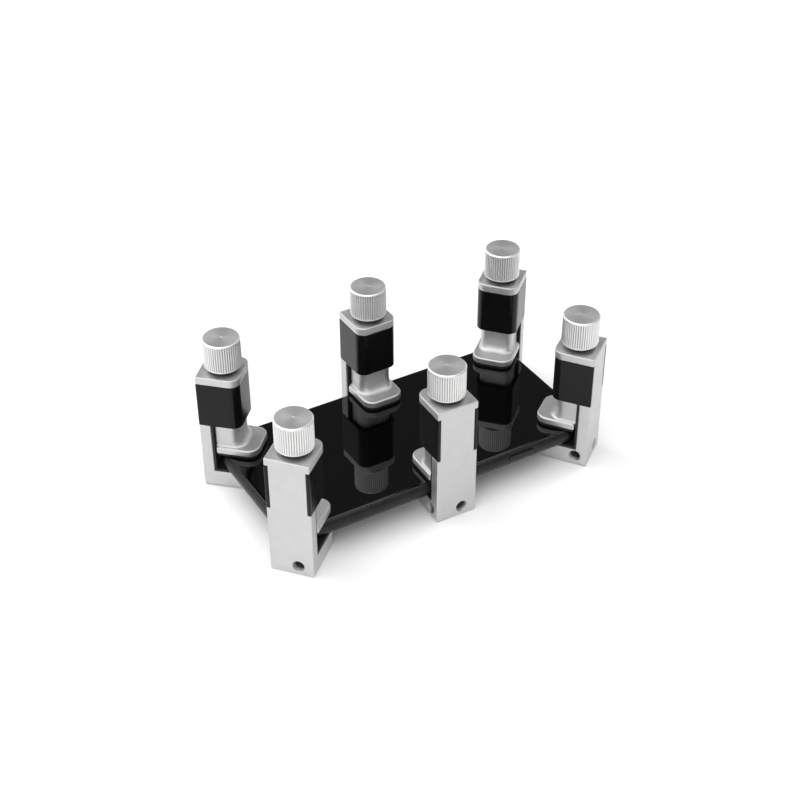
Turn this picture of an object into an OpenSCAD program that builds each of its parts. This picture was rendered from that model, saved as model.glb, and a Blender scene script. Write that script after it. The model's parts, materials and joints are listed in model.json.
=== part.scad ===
/* [Workpiece slab] */
// Length of the clamped slab
slab_l = 143.6; // [130:0.1:165]
// Width of the clamped slab
slab_w = 70.9; // [60:0.1:80]
// Thickness of the clamped slab
slab_t = 7.2; // [6.4:0.1:9]
// Corner radius of the slab seen from above
slab_r = 13.5; // [9:0.1:18]
// Thickness of the screen glass and of the back cover
glass_t = 0.8; // [0.5:0.1:1]
// Width of the dark border left between the slab's outline and its glass
border_w = 1.5; // [1.2:0.1:2]
// Length of the side key
key_l = 12; // [8:0.5:20]
// Distance of the side key from the middle of the long side
key_x = 35.1; // [-40:0.1:40]
// Travel of the side key
key_travel = 0.3; // [0.2:0.05:0.4]

/* [Clamp frame] */
// Width of a clamp
clamp_w = 18; // [16:0.1:20]
// Thickness of the upright column
column_t = 4.7; // [4:0.1:5.5]
// Height of the top face above the table
frame_h = 54.2; // [52:0.1:60]
// Length of the top plate
plate_l = 17.5; // [17:0.1:19]
// Thickness of the top plate
plate_t = 3.4; // [3:0.1:4]
// Length of the base arm
arm_l = 23.5; // [22:0.1:26]
// Thickness of the base arm
arm_t = 8; // [7.5:0.1:9]
// Corner radius at the front of the top plate and the base arm
front_r = 4.2; // [3:0.1:5]
// Radius of the tapped M5 holes at the tap drill size
tap_r = 2.1; // [2.05:0.01:2.15]

/* [Sleeve and liner] */
// Lower edge of the guide sleeve above the table
sleeve_z = 30.9; // [30:0.1:33]
// Wall of the guide sleeve beside the column
sleeve_wall = 1.4; // [1.2:0.1:1.6]
// Front face of the guide sleeve measured from the back of the clamp
sleeve_l = 17.3; // [16.8:0.1:17.4]
// Thickness of the rubber liner
liner_t = 1; // [0.8:0.1:1.2]

/* [Jaw] */
// Front face of the jaw's stem measured from the back of the clamp
stem_front = 15.5; // [14.5:0.1:15.6]
// Width of the jaw's stem
stem_w = 14.6; // [13:0.1:14.6]
// Height of the jaw from the underside of its foot
jaw_h = 23; // [20:0.1:23.5]
// Thickness of the jaw's foot
foot_t = 2.8; // [2.4:0.1:3.2]
// Thickness of the jaw's rubber pad
pad_t = 1.2; // [1:0.1:1.4]
// Upward travel of the jaw from the clamped position
jaw_travel = 8.5; // [6:0.1:8.6]

/* [Screw and knob] */
// Radius of the knob
knob_r = 7.55; // [7:0.05:8]
// Height of the knob
knob_h = 12.8; // [11:0.1:14]
// Radius of the lead screw
screw_r = 2; // [1.9:0.05:2.1]
// Distance of the screw's axis from the back of the clamp
screw_u = 9; // [8.9:0.05:9.1]
// Thickness of the washer under the knob
washer_t = 1.5; // [1.2:0.1:1.6]

/* [Hidden] */
$fn = 48;
SLIP = 0.05;                       // gap left between pieces that only rest on each other
CUT = 1;                           // how far a cutting shape runs past the face that it cuts
SET_Y = 1.3;                       // middle of the slab, so that the set's footprint is centred on the origin

// Where the six clamps stand: side of the slab, direction of the jaw, slack against the edge, side step
PLACES = ["front_left", "front_mid", "front_right", "back_left", "back_mid", "back_right"];
SIDE_X = [-1, 0, 1, -1, 0, 1];
SIDE_Y = [-1, -1, -1, 1, 1, 1];
TURN = [40.8, 88.6, 126.9, -43.4, -89.5, -138.8];
SLACK = [1.8, SLIP, SLIP, SLIP, SLIP, 0.75];
STEP = [2.95, 0, 0.5, 0.1, -2, 0.3];

KINDS = ["frame", "guide_sleeve", "liner", "thrust_washer", "knob", "lead_screw",
         "retaining_clip", "jaw", "jaw_pad"];
SLAB_NODES = ["slab_housing", "back_cover", "screen_glass", "display_panel", "adhesive_bead",
              "side_key"];

half_w = clamp_w / 2;
neck_half = half_w - sleeve_wall;  // half width of the column inside the sleeve
plate_z = frame_h - plate_t;
slab_z = arm_t + liner_t + SLIP;   // underside of the slab
slab_top = slab_z + slab_t;
edge_r = slab_t / 2;               // the slab's side is a full round
foot_z = slab_top + SLIP + pad_t;  // underside of the jaw's foot in the clamped position
stem_top = foot_z + jaw_h;
stem_back = column_t + liner_t + 0.2;
screw_run = SLIP + screw_r;        // bores that the lead screw turns in
bore_low = foot_z + 1.5;           // blind end of the jaw's bore in the clamped position
screw_low = bore_low + jaw_travel + 0.8;
knob_z = frame_h + washer_t + 0.1;
key_z = slab_z + slab_t / 2 + 0.2;
key_h = 2.4;

// Back corners square or rounded by rb, front corners rounded by rf; runs from x = 0 to x = l
module d_shape(l, w, rf, rb = 0) {
    translate([rb, -w / 2]) square([l - rf - rb, w]);
    translate([l / 2, -w / 2 + rf]) square([l / 2, w - 2 * rf]);
    for (s = [-1, 1]) translate([l - rf, s * (w / 2 - rf)]) circle(rf);
    if (rb > 0) {
        translate([0, -w / 2 + rb]) square([l / 2, w - 2 * rb]);
        for (s = [-1, 1]) translate([rb, s * (w / 2 - rb)]) circle(rb);
    }
}

module round_rect(l, w, r) {
    square([l, w - 2 * r], center = true);
    square([l - 2 * r, w], center = true);
    for (sx = [-1, 1], sy = [-1, 1])
        translate([sx * (l / 2 - r), sy * (w / 2 - r)]) circle(r);
}

// A quarter-round hollow that fills the inside corner between two faces, along +x
module cove(length, r) {
    rotate([90, 0, 90]) linear_extrude(length) difference() {
        square(r);
        translate([r, r]) circle(r);
    }
}

// ---- one clamp, standing on z = 0 with its back at x = 0 and its jaw towards +x

// A tapped hole along +z from the mouth at z = 0 down, with a small countersink
module tapped_hole(depth) {
    translate([0, 0, -depth]) cylinder(h = depth + CUT, r = tap_r);
    translate([0, 0, -0.7]) cylinder(h = 0.7 + 0.01, r1 = tap_r, r2 = tap_r + 0.7);
}

module frame() {
    color("silver") difference() {
        union() {
            translate([0, -half_w, 0]) cube([column_t, clamp_w, frame_h]);
            linear_extrude(arm_t) d_shape(arm_l, clamp_w, front_r);
            translate([0, 0, plate_z]) linear_extrude(plate_t) d_shape(plate_l, clamp_w, front_r);
        }
        for (s = [-1, 1]) {
            // The neck, where the sleeve lies flush with the column's sides and back
            translate([-CUT, s > 0 ? neck_half : -half_w - CUT, sleeve_z])
                cube([column_t + CUT, sleeve_wall + CUT, plate_z - sleeve_z]);
            // The groove that the sleeve's snap rib sits in
            translate([-CUT, s > 0 ? neck_half - 0.5 : -neck_half - CUT, sleeve_z + 9.5])
                cube([column_t + 2 * CUT, 0.5 + CUT, 1]);
        }
        translate([screw_u, 0, plate_z - CUT]) cylinder(h = plate_t + 2 * CUT, r = screw_run);
        translate([0, -2.65, 4.1]) rotate([0, -90, 0]) tapped_hole(12);
        translate([5, half_w, 4.6]) rotate([-90, 0, 0]) tapped_hole(7);
    }
}

module guide_sleeve() {
    cavity_half = stem_w / 2 + 0.2;
    color("black") {
        translate([0, 0, sleeve_z]) linear_extrude(plate_z - sleeve_z) difference() {
            d_shape(sleeve_l, clamp_w, 4);
            translate([-CUT, -neck_half]) square([column_t + CUT, 2 * neck_half]);
            translate([column_t - 0.01, 0])
                d_shape(sleeve_l - column_t - sleeve_wall, 2 * cavity_half, 2.6);
        }
        for (s = [-1, 1])
            translate([0.3, s > 0 ? neck_half - 0.45 : -neck_half - 0.2, sleeve_z + 9.55])
                cube([column_t - 0.6, 0.65, 0.9]);
    }
}

module liner() {
    color("dimgray") {
        translate([column_t, -half_w + 0.3, arm_t]) cube([liner_t, clamp_w - 0.6, 22.6]);
        translate([column_t, 0, arm_t]) linear_extrude(liner_t)
            d_shape(arm_l - column_t - 0.3, clamp_w - 0.6, front_r - 0.3);
    }
}

module thrust_washer() {
    color("black") translate([screw_u, 0, frame_h]) difference() {
        cylinder(h = washer_t, r = 6);
        translate([0, 0, -CUT]) cylinder(h = washer_t + 2 * CUT, r = screw_run + 0.03);
    }
}

module knob() {
    chamfer = 0.5;
    dimple_r = 0.7;
    color("gainsboro") translate([screw_u, 0, knob_z]) difference() {
        rotate_extrude() polygon([[0, 0], [knob_r - chamfer, 0], [knob_r, chamfer],
            [knob_r, knob_h - chamfer], [knob_r - chamfer, knob_h], [dimple_r, knob_h],
            [0, knob_h - 0.4]]);
        translate([0, 0, -CUT]) cylinder(h = knob_h - 4 + CUT, r = screw_r);
    }
}

module lead_screw() {
    core_r = 1.6;                  // bottom of the groove that the clip snaps into
    color("gray") translate([screw_u, 0, screw_low]) rotate_extrude() polygon([[0, 0],
        [screw_r - 0.4, 0], [screw_r, 0.4], [screw_r, plate_z - 0.9 - screw_low],
        [core_r, plate_z - 0.9 - screw_low], [core_r, plate_z - screw_low],
        [screw_r, plate_z - screw_low], [screw_r, knob_z + knob_h - 4 - screw_low],
        [0, knob_z + knob_h - 4 - screw_low]]);
}

module retaining_clip() {
    color("dimgray") translate([screw_u, 0, plate_z - SLIP - 0.8]) linear_extrude(0.8) difference() {
        circle(3.8);
        circle(1.6);
        translate([0, -1.4]) square([5, 2.8]);
    }
}

// Concave blends all round the stem's foot: a wide one in front, narrow ones at the sides
module stem_blends(stem_l, corner) {
    side_r = (clamp_w - 0.4 - stem_w) / 2;
    front = 3.4;
    for (s = [-1, 1]) {
        mirror([0, s < 0 ? 1 : 0, 0]) translate([0, stem_w / 2, 0]) cove(stem_l - corner, side_r);
        translate([stem_l - corner, s * (stem_w / 2 - corner), 0])
            rotate([0, 0, s > 0 ? 0 : -90]) rotate_extrude(angle = 90) difference() {
                translate([corner - 0.3, 0]) square([side_r + 0.3, side_r]);
                translate([corner + side_r, side_r]) circle(side_r);
            }
    }
    translate([stem_l, stem_w / 2 - corner, 0]) rotate([0, 0, -90]) cove(stem_w - 2 * corner, front);
}

module jaw() {
    stem_l = stem_front - stem_back;
    corner = 3.5;
    foot_back = stem_back + 0.4;
    color("silver") difference() {
        union() {
            translate([stem_back, 0, foot_z + foot_t - CUT])
                linear_extrude(jaw_h - foot_t + CUT) d_shape(stem_l, stem_w, corner);
            translate([foot_back, 0, foot_z])
                linear_extrude(foot_t) d_shape(arm_l - foot_back, clamp_w - 0.2, front_r);
            translate([stem_back, 0, foot_z + foot_t]) stem_blends(stem_l, corner);
        }
        // The tapped bore that the lead screw runs in, blind at its lower end
        translate([screw_u, 0, bore_low]) cylinder(h = jaw_h, r = screw_run);
    }
}

module jaw_pad() {
    pad_back = stem_back + 0.7;
    color("dimgray") translate([pad_back, 0, foot_z - pad_t])
        linear_extrude(pad_t) d_shape(arm_l - 0.3 - pad_back, clamp_w - 0.8, front_r - 0.3);
}

// ---- the slab held by the clamps

// The slab's outline, moved inwards by inset
module outline(inset) {
    round_rect(slab_l - 2 * inset, slab_w - 2 * inset, slab_r - inset);
}

// Section of the housing's side: a half round with its crown at x = 0, and a rail behind it
module rail_section() {
    intersection() {
        translate([edge_r, edge_r]) circle(edge_r);
        square([edge_r, slab_t]);
    }
    translate([edge_r - 0.01, 0]) square([2.01, slab_t]);
}

// The rail along one straight side, running along x with its crown at y = 0
module side_rail(length) {
    rotate([90, 0, 90]) translate([0, 0, -length / 2]) linear_extrude(length) rail_section();
}

module slab_housing() {
    plate_low = 2.6;
    color([0.16, 0.16, 0.17]) translate([0, 0, slab_z]) difference() {
        union() {
            for (s = [-1, 1]) {
                rotate([0, 0, s > 0 ? 0 : 180]) translate([0, -slab_w / 2, 0])
                    side_rail(slab_l - 2 * slab_r);
                rotate([0, 0, s * 90]) translate([0, -slab_l / 2, 0])
                    side_rail(slab_w - 2 * slab_r);
            }
            for (sx = [-1, 1], sy = [-1, 1])
                translate([sx * (slab_l / 2 - slab_r), sy * (slab_w / 2 - slab_r), 0])
                    rotate([0, 0, sx > 0 ? (sy > 0 ? 0 : -90) : (sy > 0 ? 90 : 180)])
                        rotate_extrude(angle = 90) translate([slab_r, 0]) mirror([1, 0]) rail_section();
            translate([0, 0, plate_low]) linear_extrude(1) outline(edge_r + 1);
        }
        // Seats of the screen glass and the back cover, flush with the housing
        translate([0, 0, slab_t - glass_t - 0.2]) linear_extrude(glass_t + CUT) outline(border_w);
        translate([0, 0, -CUT]) linear_extrude(glass_t + CUT) outline(border_w);
        // The slot that the side key moves in, with room for its flange inside
        translate([key_x, -slab_w / 2 - CUT, key_z - slab_z]) rotate([-90, 0, 0])
            linear_extrude(edge_r + 4) round_rect(key_l + 0.16, key_h + 0.16, key_h / 2 + 0.07);
        translate([key_x - key_l / 2 - 1.3, -slab_w / 2 + edge_r, plate_low + 1.0])
            cube([key_l + 2.6, 3, 2.4]);
    }
}

module back_cover() {
    color([0.1, 0.1, 0.1]) translate([0, 0, slab_z]) linear_extrude(glass_t - 0.02)
        outline(border_w + 0.02);
}

module adhesive_bead() {
    color("ivory") translate([0, 0, slab_top - glass_t - 0.2]) linear_extrude(0.2) difference() {
        outline(border_w + 0.1);
        outline(border_w + 1.6);
    }
}

module screen_glass() {
    color([0.05, 0.05, 0.06]) translate([0, 0, slab_top - glass_t]) linear_extrude(glass_t)
        outline(border_w + 0.02);
}

module display_panel() {
    color("darkslategray") translate([0, 0, slab_z + 4.6]) linear_extrude(1.75)
        outline(edge_r + 3.2);
}

module side_key() {
    proud = 0.3;
    translate([key_x, -slab_w / 2 - proud, key_z]) color([0.2, 0.2, 0.2]) {
        rotate([-90, 0, 0]) linear_extrude(edge_r + 0.6) round_rect(key_l, key_h, key_h / 2 - 0.01);
        translate([-key_l / 2 - 1, edge_r + 0.4, -0.1]) cube([key_l + 2, 0.6, 1.5]);
    }
}

// ---- assembly

// Moves a clamp to its place on the slab's edge: at a corner it is measured from the corner's centre,
// on a long side from the edge, with room for the clamp's small turn
module at_place(i) {
    lean = abs(abs(TURN[i]) - 90);
    reach = column_t + liner_t + SLACK[i];
    back = SIDE_X[i] == 0 ? reach / cos(lean) + half_w * sin(lean) : reach + slab_r;
    from = [SIDE_X[i] * (slab_l / 2 - slab_r),
            SIDE_Y[i] * (SIDE_X[i] == 0 ? slab_w / 2 : slab_w / 2 - slab_r)];
    translate([from.x, SET_Y + from.y, 0]) rotate([0, 0, TURN[i]])
        translate([-back, -STEP[i], 0]) children();
}

for (i = [0:5]) at_place(i) {
    p = PLACES[i];
    frame();
    guide_sleeve();
    liner();
    thrust_washer();
    knob();
    lead_screw();
    retaining_clip();
    jaw();
    jaw_pad();
}
translate([0, SET_Y, 0]) {
    slab_housing();
    back_cover();
    screen_glass();
    display_panel();
    adhesive_bead();
    side_key();
}
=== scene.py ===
"""Six small screen clamps gripping a glass-faced slab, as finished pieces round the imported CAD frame."""
import json
import math

import bmesh
import bpy
import numpy as np
from bpy.props import FloatProperty, FloatVectorProperty, IntProperty, PointerProperty
from bpy.types import Operator, Panel, PropertyGroup
from mathutils import Matrix, Vector


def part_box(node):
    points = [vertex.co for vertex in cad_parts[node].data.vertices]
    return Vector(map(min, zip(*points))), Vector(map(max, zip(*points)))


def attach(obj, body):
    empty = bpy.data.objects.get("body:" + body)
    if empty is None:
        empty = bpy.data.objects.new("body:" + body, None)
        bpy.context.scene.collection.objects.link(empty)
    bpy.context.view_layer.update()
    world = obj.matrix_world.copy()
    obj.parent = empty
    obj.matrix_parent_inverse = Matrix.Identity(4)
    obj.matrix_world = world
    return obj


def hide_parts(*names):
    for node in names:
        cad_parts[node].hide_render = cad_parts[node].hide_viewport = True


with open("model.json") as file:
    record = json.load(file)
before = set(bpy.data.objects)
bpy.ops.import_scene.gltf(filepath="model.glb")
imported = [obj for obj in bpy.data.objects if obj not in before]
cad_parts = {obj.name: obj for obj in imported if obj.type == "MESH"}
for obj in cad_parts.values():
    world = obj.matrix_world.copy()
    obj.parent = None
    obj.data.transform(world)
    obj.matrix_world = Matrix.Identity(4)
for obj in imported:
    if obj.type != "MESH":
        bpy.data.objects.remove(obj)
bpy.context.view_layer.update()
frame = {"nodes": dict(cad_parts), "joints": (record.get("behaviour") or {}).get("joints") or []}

bl_info = {
    "name": "Screen Clamp Set",
    "version": (1, 0, 0),
    "blender": (4, 5, 0),
    "location": "View3D > Sidebar > Screen Clamps",
    "description": "Builds six screen clamps and the slab that they hold",
    "category": "Object",
}

MM = 0.001
UP = np.array([0.0, 0.0, 1.0])
JOINTS = {j["name"]: j for j in frame["joints"]}
PLACES = sorted(n[: -len("_frame")] for n in frame["nodes"] if n.endswith("_frame"))


# Places and sizes from the frame

def mesh_points(mesh):
    """A mesh's vertices as an array of points."""
    flat = np.zeros(len(mesh.vertices) * 3, np.float32)
    mesh.vertices.foreach_get("co", flat)
    return flat.reshape(-1, 3).astype(float)


def cad_points(node):
    """The CAD node's vertices as an array of points."""
    return mesh_points(frame["nodes"][node].data)


def clamp_axes(place):
    """Origin and axes of one clamp, as rows: a point on the table at the middle of its back, then the jaw's
    direction u, the sideways direction v and up. u is minus the pull-off slide's axis, and the back lies as
    far behind the knob's axis as the frame's rearmost vertex."""
    u = -np.array(JOINTS[place + "_pull_off"]["axis"], float)
    axis = np.array(JOINTS[place + "_knob_turn"]["pos_m"], float) * [1, 1, 0]
    back = ((cad_points(place + "_frame") - axis) @ u).min()
    return np.array([axis + back * u, u, np.cross(UP, u), UP])


def to_frame(points, place):
    """Points in a clamp's own axes, carried to the frame: origin + a u + b v + c up."""
    axes = clamp_axes(place)
    return axes[0] + np.asarray(points) @ axes[1:]


def own_points(kind):
    """The vertices of one of the first clamp's CAD nodes, in the clamp's own axes."""
    place = PLACES[0]
    axes = clamp_axes(place)
    return (cad_points(f"{place}_{kind}") - axes[0]) @ axes[1:].T


BOX = {
    kind: (own_points(kind).min(0), own_points(kind).max(0))
    for kind in ("frame", "guide_sleeve", "liner", "thrust_washer", "knob", "lead_screw", "jaw", "jaw_pad")
}
SCREW_X = BOX["knob"][0][0] / 2 + BOX["knob"][1][0] / 2
SCREW_RADIUS = BOX["lead_screw"][1][1]
SLAB_LOW, SLAB_HIGH = (np.array(c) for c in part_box("slab_housing"))
GLASS_LOW, GLASS_HIGH = (np.array(c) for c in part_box("screen_glass"))
COVER_LOW, COVER_HIGH = (np.array(c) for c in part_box("back_cover"))
KEY_LOW, KEY_HIGH = (np.array(c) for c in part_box("side_key"))
SLAB_MID = (SLAB_LOW + SLAB_HIGH) / 2

# the tapped holes of a frame, in its clamp's own axes: middle of the mouth, direction inwards and depth
BACK_HOLE = (np.array([0, -2.65 * MM, 4.1 * MM]), np.array([1.0, 0, 0]), 11.3 * MM)
SIDE_HOLE = (np.array([5 * MM, BOX["frame"][1][1], 4.6 * MM]), np.array([0, -1.0, 0]), 6.5 * MM)

# parts of the studio's walls: direction, and the cosines to it between which the part fades in
CEILING = ((-0.12, 0.1, 0.98), 0.6, 0.9)
BLACK_FLAG = ((0.405, 0.687, 0.6), 0.8, 0.955)
RIGHT_WALL = ((0.75, -0.65, -0.1), 0.2, 0.85)
SOFTBOX_PLACE = (-0.55, 0.75, 1.25)


def length(name, text, default):
    """A length property in metres, shown in the scene's units."""
    return FloatProperty(name=name, description=text, default=default, min=0, unit="LENGTH", precision=5)


def colour(name, text, default):
    """A colour property."""
    return FloatVectorProperty(name=name, description=text, default=default, subtype="COLOR", min=0, max=1)


def number(name, text, default):
    """A plain number property."""
    return FloatProperty(name=name, description=text, default=default)


class ClampSizes(PropertyGroup):
    edge: length("Edge radius", "Rounding of the frame's milled edges", 0.4 * MM)
    base_edge: length("Base edge radius", "Rounding of the edge under the base arm", 1.5 * MM)
    front_radius: length("Front corner radius", "Corners of the plate and the arm from above", 4.2 * MM)
    column: length("Column thickness", "Thickness of the upright column", BOX["liner"][0][0])
    arm: length("Arm thickness", "Height of the base arm", BOX["liner"][0][2])
    sleeve_wall: length("Sleeve wall", "Wall of the guide sleeve", 1.4 * MM)
    sleeve_radius: length("Sleeve corner radius", "Front corners of the guide sleeve", 4.0 * MM)
    liner: length("Liner thickness", "Thickness of the rubber liner", 1.0 * MM)
    foot: length("Foot thickness", "Thickness of the jaw's foot", 2.8 * MM)
    foot_edge: length("Foot edge radius", "Rounding of the foot's upper edge", 0.7 * MM)
    foot_radius: length("Foot corner radius", "Front corners of the foot from above", 4.8 * MM)
    stem_front: length("Stem front", "Front face of the jaw's stem from the clamp's back", 15.5 * MM)
    stem_width: length("Stem width", "Width of the jaw's stem", 14.6 * MM)
    stem_radius: length("Stem corner radius", "Front corners of the stem", 3.5 * MM)
    front_cove: length("Front cove", "Hollow blend from the stem's front to the foot", 3.4 * MM)
    side_cove: length("Side cove", "Hollow blend from the stem's sides to the foot", 0.9 * MM)
    tap_major: length("Thread radius", "Outer radius of the tapped holes' thread", 2.5 * MM)
    tap_minor: length("Crest radius", "Inner radius of the tapped holes' thread", 2.1 * MM)
    tap_mouth: length("Countersink radius", "Radius of the tapped holes' countersink", 2.8 * MM)
    tap_pitch: length("Thread pitch", "Pitch of the tapped holes' thread", 0.8 * MM)


class KnobSizes(PropertyGroup):
    teeth: IntProperty(name="Teeth", description="Ridges round the knob's knurl", default=48, min=12, max=96)
    tooth_depth: length("Tooth depth", "Depth of the knurl", 0.36 * MM)
    rim: length("Rim height", "Height of the smooth rims above and below the knurl", 0.75 * MM)
    chamfer: length("Chamfer", "Chamfer of the rims", 0.5 * MM)
    screw_radius: length("Screw radius", "Outer radius of the lead screw", SCREW_RADIUS)
    screw_lead: length("Screw lead", "Rise of the jaw for one turn of the knob", 0.7 * MM)


class SlabSizes(PropertyGroup):
    corner: length("Corner radius", "Corners of the slab from above", 13.5 * MM)
    glass_edge: length("Glass edge width", "Width of the curved edge of the glass", 1.8 * MM)
    key_length: length("Key length", "Length of the side key", 12 * MM)
    key_height: length("Key height", "Height of the side key", 2.4 * MM)


class FinishColours(PropertyGroup):
    aluminium: colour("Aluminium", "Satin aluminium of the frames and jaws", (0.60, 0.602, 0.602))
    knob: colour("Knob", "Turned aluminium of the knobs", (0.80, 0.80, 0.795))
    sleeve: colour("Sleeve", "Black plastic of the guide sleeves", (0.003, 0.003, 0.003))
    rubber: colour("Rubber", "Black rubber of the liners and pads", (0.008, 0.008, 0.008))
    housing: colour("Housing", "Anodised side of the slab", (0.03, 0.03, 0.03))
    glass: colour("Glass", "Black-backed glass of the slab", (0.0008, 0.0008, 0.0008))
    paper: colour("Paper", "Paper that the clamps stand on", (0.92, 0.92, 0.92))


class StageSettings(PropertyGroup):
    azimuth: number("Azimuth", "Direction of view, in degrees", -30.52)
    elevation: number("Elevation", "Camera's height above the horizon, in degrees", 37.07)
    roll: number("Roll", "Turn of the picture, in degrees", -0.12)
    distance: length("Distance", "Distance from the camera to its target", 626.4 * MM)
    lens: number("Lens", "Focal length in millimetres", 68.18)
    shift_x: number("Shift X", "Sideways shift of the picture", -0.0058)
    shift_y: number("Shift Y", "Upward shift of the picture", 0.0298)
    target: FloatVectorProperty(
        name="Target", description="Point that the lens's axis passes through", unit="LENGTH",
        default=(0, 0.7 * MM, 20 * MM))
    floor_half: length("Floor size", "From the middle of the floor to its side", 6)
    ceiling: number("Ceiling", "Strength of the studio's ceiling", 2.1)
    walls: number("Walls", "Strength of the studio's walls", 1.32)
    flag: number("Flag", "Share of the light that the black flag leaves", 0.09)
    right_wall: number("Right wall", "Share of the light that the right wall gives", 0.3)
    softbox_size: length("Softbox size", "Side of the rear softbox", 0.7)
    softbox_power: number("Softbox power", "Power of the rear softbox, in watts", 2)


GROUPS = {
    "clamp_sizes": ClampSizes,
    "knob_sizes": KnobSizes,
    "slab_sizes": SlabSizes,
    "clamp_colours": FinishColours,
    "clamp_stage": StageSettings,
}


# Surfaces from arrays

def quads(index, wrap=False):
    """Quads between neighbouring rows of an array of vertex numbers, each row closed on itself; with wrap
    the last row also joins the first."""
    below = index if wrap else index[:-1]
    above = np.roll(index, -1, 0) if wrap else index[1:]
    return np.stack([below, np.roll(below, -1, 1), np.roll(above, -1, 1), above], -1).reshape(-1, 4)


def stack(rings):
    """Closed surface through a stack of rings (rows x points x 3): quads between the rings, and a fan of
    triangles from each end ring to its middle point."""
    rings = np.asarray(rings, float)
    rows, n = rings.shape[:2]
    index = np.arange(rows * n).reshape(rows, n)
    points = np.vstack([rings.reshape(-1, 3), rings[0].mean(0), rings[-1].mean(0)])
    low = np.stack([index[0], np.full(n, rows * n), np.roll(index[0], -1)], -1)
    high = np.stack([index[-1], np.roll(index[-1], -1), np.full(n, rows * n + 1)], -1)
    return points, [quads(index), low, high]


def loop(rings):
    """Closed surface through rings whose last one joins the first, as a tube bent into a hoop."""
    rings = np.asarray(rings, float)
    index = np.arange(rings.shape[0] * rings.shape[1]).reshape(rings.shape[:2])
    return rings.reshape(-1, 3), [quads(index, wrap=True)]


def outline(x0, x1, half, front_r, back_r, arc=8, side=6, end=4):
    """Rounded rectangle in plan from x0 to x1 and half a width each side of y = 0, anticlockwise from
    above. Its corners are quarter circles, front_r at x1 and back_r at x0. Every stretch has a fixed number
    of steps, so that outlines of any size match point for point."""
    quarter = np.linspace(0, math.pi / 2, arc + 1)
    corners = []
    for k, (cx, cy, r) in enumerate([
            (x1 - front_r, front_r - half, front_r), (x1 - front_r, half - front_r, front_r),
            (x0 + back_r, half - back_r, back_r), (x0 + back_r, back_r - half, back_r)]):
        turn = quarter + (k - 1) * math.pi / 2
        corners.append(np.c_[cx + r * np.cos(turn), cy + r * np.sin(turn)])
    parts = []
    for k, steps in enumerate([end, side, end, side]):
        start, stop = corners[k][-1], corners[(k + 1) % 4][0]
        t = np.linspace(0, 1, steps + 1)[1:-1, None]
        parts += [corners[k], start + (stop - start) * t]
    return np.vstack(parts)


def at_height(plan, z):
    """A plan outline lifted to height z."""
    return np.c_[plan, np.full(len(plan), z)]


def rounding(r, steps=4):
    """Heights and insets of a quarter round of radius r, from its foot on the side wall to its top:
    height r sin(t), inset r (1 - cos(t))."""
    t = np.linspace(0, math.pi / 2, steps + 1)
    return np.c_[r * np.sin(t), r * (1 - np.cos(t))]


def slab_rings(shape, z0, z1, r_low, r_high):
    """Rings of a plate with rounded edges: shape(inset) gives the plan outline, moved inwards by the inset
    of a quarter round of r_low at z0 and of r_high at z1."""
    low = [at_height(shape(i), z0 + r_low - h) for h, i in rounding(r_low)[::-1]]
    high = [at_height(shape(i), z1 - r_high + h) for h, i in rounding(r_high)]
    return low + high


def polar(radii, heights, n, phase=0.0):
    """Rings about the z axis, one for each pair of a radius and a height. A radius may be an array of n
    values."""
    turn = np.linspace(0, 2 * math.pi, n, endpoint=False) + phase
    return np.array([
        np.c_[r * np.cos(turn), r * np.sin(turn), np.full(n, z)] for r, z in zip(radii, heights)])


def thread_rings(r_minor, r_major, pitch, z0, z1, n=40, per_turn=6):
    """Rings of a screw thread along z from z0 to z1. The radius is a rounded triangle wave of the height
    less the turn's share of the pitch, so that the crest climbs one pitch in one turn."""
    rows = max(2, int(round((z1 - z0) / pitch * per_turn)) + 1)
    z = np.linspace(z0, z1, rows)[:, None]
    turn = np.linspace(0, 2 * math.pi, n, endpoint=False)[None, :]
    wave = np.abs(((z / pitch - turn / (2 * math.pi)) % 1) * 2 - 1)
    r = r_minor + (r_major - r_minor) * (0.5 - 0.5 * np.cos(math.pi * np.clip(wave * 1.25 - 0.125, 0, 1)))
    return np.stack([r * np.cos(turn), r * np.sin(turn), np.broadcast_to(z, r.shape)], -1)


def volume(points, faces):
    """Six times the signed volume inside closed faces: the sum of a . (b x c) over their triangles."""
    total = 0.0
    for group in faces:
        for k in range(1, group.shape[1] - 1):
            a, b, c = (points[group[:, i]] for i in (0, k, k + 1))
            total += np.einsum("ij,ij->i", a, np.cross(b, c)).sum()
    return total


def closed_volume(mesh):
    """Volume inside a mesh; an error if an edge doesn't join exactly two faces."""
    solid = bmesh.new()
    solid.from_mesh(mesh)
    open_edges = sum(not edge.is_manifold for edge in solid.edges)
    inside = solid.calc_volume(signed=True)
    solid.free()
    if open_edges:
        raise RuntimeError(f"{mesh.name} has {open_edges} edges that don't join two faces")
    return inside


def link(name, data):
    """A new object in the scene for a mesh, a light or a camera."""
    thing = bpy.data.objects.new(name, data)
    bpy.context.scene.collection.objects.link(thing)
    return thing


def new_mesh(name, surface):
    """Mesh object from points and arrays of faces, turned outwards if they enclose a negative volume."""
    points, faces = surface
    if volume(points - points.mean(0), faces) < 0:
        faces = [group[:, ::-1] for group in faces]
    mesh = bpy.data.meshes.new(name)
    mesh.from_pydata(points.tolist(), [], [f for group in faces for f in group.tolist()])
    mesh.polygons.foreach_set("use_smooth", np.ones(len(mesh.polygons), bool))
    mesh.update()
    return link(name, mesh)


def settle(piece):
    """Puts the result of the piece's modifiers into its mesh."""
    graph = bpy.context.evaluated_depsgraph_get()
    mesh = bpy.data.meshes.new_from_object(piece.evaluated_get(graph), depsgraph=graph)
    old = piece.data
    piece.modifiers.clear()
    piece.data = mesh
    bpy.data.meshes.remove(old)
    mesh.name = piece.name


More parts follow.
